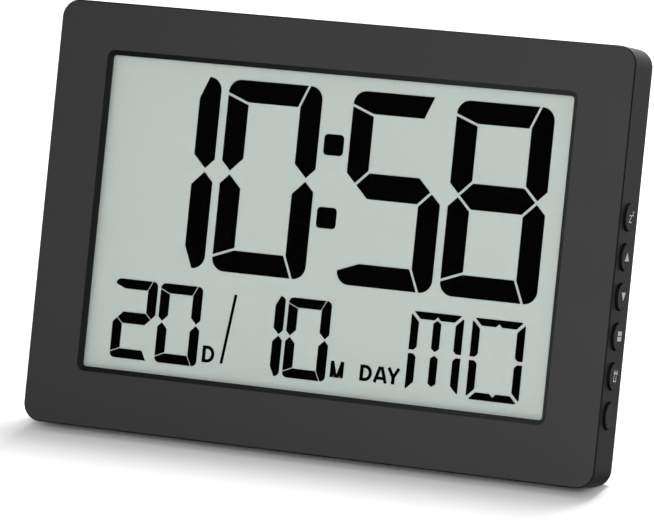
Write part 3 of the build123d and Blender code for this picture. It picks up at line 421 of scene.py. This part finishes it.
material, tree, shader = finish("solder_mask", (0.02, 0.12, 0.05), 0.35, 0.5)
place = clock_place(tree)
tracks = tree.nodes.new("ShaderNodeTexBrick")
tracks.inputs["Scale"].default_value = 60
tracks.inputs["Mortar Size"].default_value = 0.04
tracks.inputs["Color1"].default_value = (0.012, 0.1, 0.04, 1)
tracks.inputs["Color2"].default_value = (0.016, 0.115, 0.045, 1)
tracks.inputs["Mortar"].default_value = (0.06, 0.26, 0.1, 1)
flat = tree.nodes.new("ShaderNodeMapping")
flat.inputs["Rotation"].default_value = (math.pi / 2, 0, 0)
tree.links.new(place, flat.inputs["Vector"])
tree.links.new(flat.outputs["Vector"], tracks.inputs["Vector"])
paint(tree, shader, tracks.outputs["Color"])
emboss(tree, shader, tracks.outputs["Fac"], 0.00003, 0.4)
dress(material, "main_board")

# %% Chip, crystal, capacitors, buzzer and switches
material, tree, shader = finish("chip_epoxy", (0.012, 0.012, 0.013), 0.3, 0.5)
ripple = grain(tree, clock_place(tree), 0.003)
roughen(tree, shader, ripple, 0.2, 0.4)
emboss(tree, shader, ripple, 0.0001, 0.3)
dress(material, "clock_chip")


def plated(name, dark, light, roughness):
    """Thin sheet or drawn metal with a fine, uneven plating."""
    material, tree, shader = finish(name, light, roughness, 0.5, 1.0)
    fine = grain(tree, clock_place(tree), 0.0006)
    paint(tree, shader, mixed(tree, fine, dark, light))
    roughen(tree, shader, fine, roughness - 0.1, roughness + 0.1)
    return material


dress(plated("tinned_can", (0.6, 0.61, 0.62), (0.74, 0.75, 0.76), 0.3), "quartz_crystal")
dress(plated("nickel_spring", (0.6, 0.58, 0.54), (0.74, 0.72, 0.68), 0.28),
      "positive_contact", "negative_contact", "bridge_contact")
dress(plated("dark_zinc_steel", (0.2, 0.2, 0.21), (0.32, 0.32, 0.33), 0.4), "case_screws", "board_screws")

material, tree, shader = finish("capacitor_sleeve", (0.02, 0.02, 0.05), 0.35, 0.5)
bare_end = ramp(tree, along(tree, clock_place(tree), "Y"), 0.0116, 0.0118)  # the sleeve stops there
paint(tree, shader, mixed(tree, bare_end, (0.015, 0.016, 0.045), (0.6, 0.61, 0.62)))
dress(material, "capacitors")

dress(plain_moulded("buzzer_shell", 0.014, 0.4, 0.4), "alarm_buzzer")
dress(plain_moulded("switch_shell", 0.02, 0.45, 0.4), "side_switches")

# %% [markdown]
# ## Battery cells
# Each cell is a steel can in a plain printed jacket. The jacket is green with a bare metal band at the
# positive end, and the ends are bare steel. The two cells point opposite ways, so the masks are mirrored.

# %% Cells
BAND_START, BAND_FULL = 0.0125, 0.0127  # metres from the middle where the jacket ends


def cell_finish(name, side):
    """Green jacket over the can's middle and a metal band towards the positive end on that side."""
    material, tree, shader = finish(name, (0.1, 0.2, 0.12), 0.3, 0.5)
    place = clock_place(tree)
    across = along(tree, place, "X")
    positive = ramp(tree, across, side * BAND_START, side * BAND_FULL)
    jacket = mixed(tree, grain(tree, place, 0.02), (0.04, 0.17, 0.08), (0.05, 0.2, 0.1))
    paint(tree, shader, mixed(tree, positive, jacket, (0.62, 0.6, 0.56)))
    return material


dress(cell_finish("upper_cell_jacket", 1), "upper_cell")
dress(cell_finish("lower_cell_jacket", -1), "lower_cell")

# %% [markdown]
# ## Signs from strokes
# The date's letters and the buttons' signs are flat, printed shapes. A font would be quick, but the signs
# aren't letters and the letters are only five, so each is a few strokes: a thin rectangle carried along a
# path. Where the path bends, the rectangle stands along the bisector, which makes a clean mitre.

# %% Strokes
def stroke(path, width, near, far):
    """Points and faces of a flat bar along a path of two-dimensional points.

    At each point, a rectangle stands across the path: as wide as width says there, divided by the cosine
    of half the turn, and from near to far in depth. Four rails join the rectangles, and two caps close it.
    """
    path = np.asarray(path, float)
    step = np.diff(path, axis=0)
    step /= np.linalg.norm(step, axis=1, keepdims=True)
    before, after = np.vstack([step[:1], step]), np.vstack([step, step[-1:]])
    forward = before + after
    forward /= np.linalg.norm(forward, axis=1, keepdims=True)
    half = np.broadcast_to(width, len(path)) / 2 / np.sum(forward * after, axis=1)
    side = np.column_stack([-forward[:, 1], forward[:, 0]]) * half[:, None]
    rings = np.empty((len(path), 4, 3))
    rings[:, :2, :2] = np.stack([path + side, path - side], axis=1)
    rings[:, 2:, :2] = rings[:, 1::-1, :2]
    rings[:, :2, 2] = near
    rings[:, 2:, 2] = far
    start = 4 * np.arange(len(path) - 1)[:, None]
    turn = np.arange(4)
    following = (turn + 1) % 4
    quads = np.stack([start + turn, start + following, start + 4 + following, start + 4 + turn], axis=2)
    last = 4 * len(path) - 4
    caps = np.array([[3, 2, 1, 0], [last, last + 1, last + 2, last + 3]])
    return rings.reshape(-1, 3), np.vstack([quads.reshape(-1, 4), caps])


def sign(name, strokes, layout, body, material):
    """One object of several strokes. Layout turns their flat points and depth into clock millimetres."""
    points, faces, count = [], [], 0
    for bar_points, bar_faces in strokes:
        points.append(bar_points)
        faces.append(bar_faces + count)
        count += len(bar_points)
    mesh = bpy.data.meshes.new(name)
    mesh.from_pydata(placed(layout(np.vstack(points))).tolist(), [], np.vstack(faces).tolist())
    shell = bmesh.new()
    shell.from_mesh(mesh)
    bmesh.ops.recalc_face_normals(shell, faces=shell.faces)
    shell.to_mesh(mesh)
    shell.free()
    mesh.materials.append(material)
    piece = bpy.data.objects.new(name, mesh)
    bpy.context.scene.collection.objects.link(piece)
    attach(piece, body)
    print(name, len(mesh.polygons), "faces on", body)
    return piece


# %% [markdown]
# ## Letters of the date
# Small fixed letters stand beside the date: D after the day, a slash, M after the month and DAY before the
# weekday. They are segments of the same crystal layer as the digits, so they get the same depth and finish.

# %% Date letters
BASE = 25.68  # the letters' lower edge on the display
STEM = 1.2  # width of an upright
SLOPE = 1.08  # width of a slanting stroke
BAR = 1.0  # width of a level stroke


def letter_strokes(letter, left, wide, tall):
    """The strokes of one letter as (path, width) pairs, from its left edge, width and height."""
    right, top, middle = left + wide, BASE + tall, left + wide / 2
    stem, bar, slope = STEM / 2, BAR / 2, SLOPE / 2
    left_stem = ([(left + stem, BASE), (left + stem, top)], STEM)
    if letter == "D":
        turn = np.linspace(np.pi / 2, -np.pi / 2, 13)
        rise, reach = tall / 2 - bar, wide * 0.45
        across, up = right - stem - reach + reach * np.cos(turn), BASE + tall / 2 + rise * np.sin(turn)
        bow = np.vstack([[left + stem, top - bar], np.column_stack([across, up]), [left + stem, BASE + bar]])
        return [left_stem, (bow, BAR * 1.08)]
    if letter == "M":
        right_stem = ([(right - stem, BASE), (right - stem, top)], STEM)
        return [left_stem, right_stem, ([(left + slope, top), (middle - slope / 2, BASE)], SLOPE),
                ([(right - slope, top), (middle + slope / 2, BASE)], SLOPE)]
    if letter == "A":
        low = BASE + tall * 0.28
        return [([(left + slope, BASE), (middle - slope / 2, top)], SLOPE),
                ([(right - slope, BASE), (middle + slope / 2, top)], SLOPE),
                ([(left + wide * 0.25, low), (right - wide * 0.25, low)], BAR)]
    fork = BASE + tall * 0.42
    return [([(left + slope, top), (middle, fork)], SLOPE), ([(right - slope, top), (middle, fork)], SLOPE),
            ([(middle, BASE), (middle, fork + bar)], STEM)]


def on_display(points):
    """Flat points lie on the display, and the depth runs back into it."""
    return points[:, [0, 2, 1]]


CRYSTAL_NEAR, CRYSTAL_FAR = 3.07, 3.18  # depths of the crystal layer
HAIR = 0.004  # how much each stroke is thinner than the last, on either side


def crystal_sign(name, bars):
    """A sign in the crystal layer, each stroke a hair thinner than the last so that no faces coincide."""
    strokes = [stroke(path, width, CRYSTAL_NEAR + HAIR * turn, CRYSTAL_FAR - HAIR * turn)
               for turn, (path, width) in enumerate(bars)]
    piece = sign(name, strokes, on_display, "case", segment_finish)


crystal_sign("day_letter", letter_strokes("D", -38.96, 4.37, 5.45))
crystal_sign("month_letter", letter_strokes("M", 6.4, 4.64, 5.3))
crystal_sign("weekday_word", letter_strokes("D", 16.72, 4.24, 5.2) + letter_strokes("A", 21.4, 4.95, 5.2)
             + letter_strokes("Y", 26.01, 4.6, 5.2))
crystal_sign("date_slash", [([(-31.99, 25.86), (-29.09, 48.7)], 0.98)])

# %% [markdown]
# ## Signs on the buttons
# Five of the six caps carry a small pale sign: sleep, up, down, a square of four, and a box under two posts.
# They are pad-printed, a film of ink only a few hundredths of a millimetre thick, and move with their cap.

# %% Button signs
material, tree, shader = finish("pale_ink", (0.4, 0.4, 0.4), 0.6, 0.2)
fine = grain(tree, clock_place(tree), 0.0002)
paint(tree, shader, mixed(tree, fine, (0.37, 0.37, 0.37), (0.43, 0.43, 0.43)))
ink_finish = material

CAP_FACE = 101.2  # the caps' outer faces
CAP_DEPTH = 8.0  # the caps' middle line, from the front
CAP_LOW = 23.5  # the lowest cap's middle
CAP_PITCH = 12.6
INK_ROOT = 0.01  # how far the film reaches into the cap, so that it can't float
INK_FILM = 0.03  # how far it stands out
INK_STEP = 0.003  # how much lower each stroke is than the last
SIGNS = {
    "up": [([(-0.5, -1.25), (-0.5, 1.45)], (4.1, 0.05))],
    "down": [([(-0.35, 1.45), (-0.35, -1.25)], (3.8, 0.05))],
    "mode": [([(x, z - 0.72), (x, z + 0.72)], 1.7) for x in (-1.05, 0.9) for z in (-0.69, 1.03)],
    "snooze": [([(-2.3, 0.6), (0, 0.6), (-2.2, -1.5), (0.1, -1.5)], 0.34),
               ([(0.5, 1.8), (1.7, 1.8), (0.6, 0.7), (1.8, 0.7)], 0.28)],
    "alarm": [([(-1.7, 0.2), (-1.7, -1.5), (0.5, -1.5), (0.5, 0.2)], 0.4), ([(-1.3, 0.5), (-1.3, 2)], 0.65),
              ([(1.2, 0.5), (1.2, 2)], 0.65), ([(-1.8, 1.05), (1.4, 1.05)], 0.5)],
}


def cap_sign(key, bars):
    """A printed sign on one cap, riding on that cap's body."""
    middle = CAP_LOW + CAP_PITCH * KEYS.index(key)

    def on_cap(points):
        """Flat points lie on the cap, seen from the right side, and the depth runs outwards."""
        return np.column_stack([points[:, 2], CAP_DEPTH + points[:, 0], middle + points[:, 1]])

    strokes = [stroke(path, width, CAP_FACE - INK_ROOT, CAP_FACE + INK_FILM - INK_STEP * turn)
               for turn, (path, width) in enumerate(bars)]
    sign(key + "_sign", strokes, on_cap, key + "_key", ink_finish)


for key, bars in SIGNS.items():
    cap_sign(key, bars)
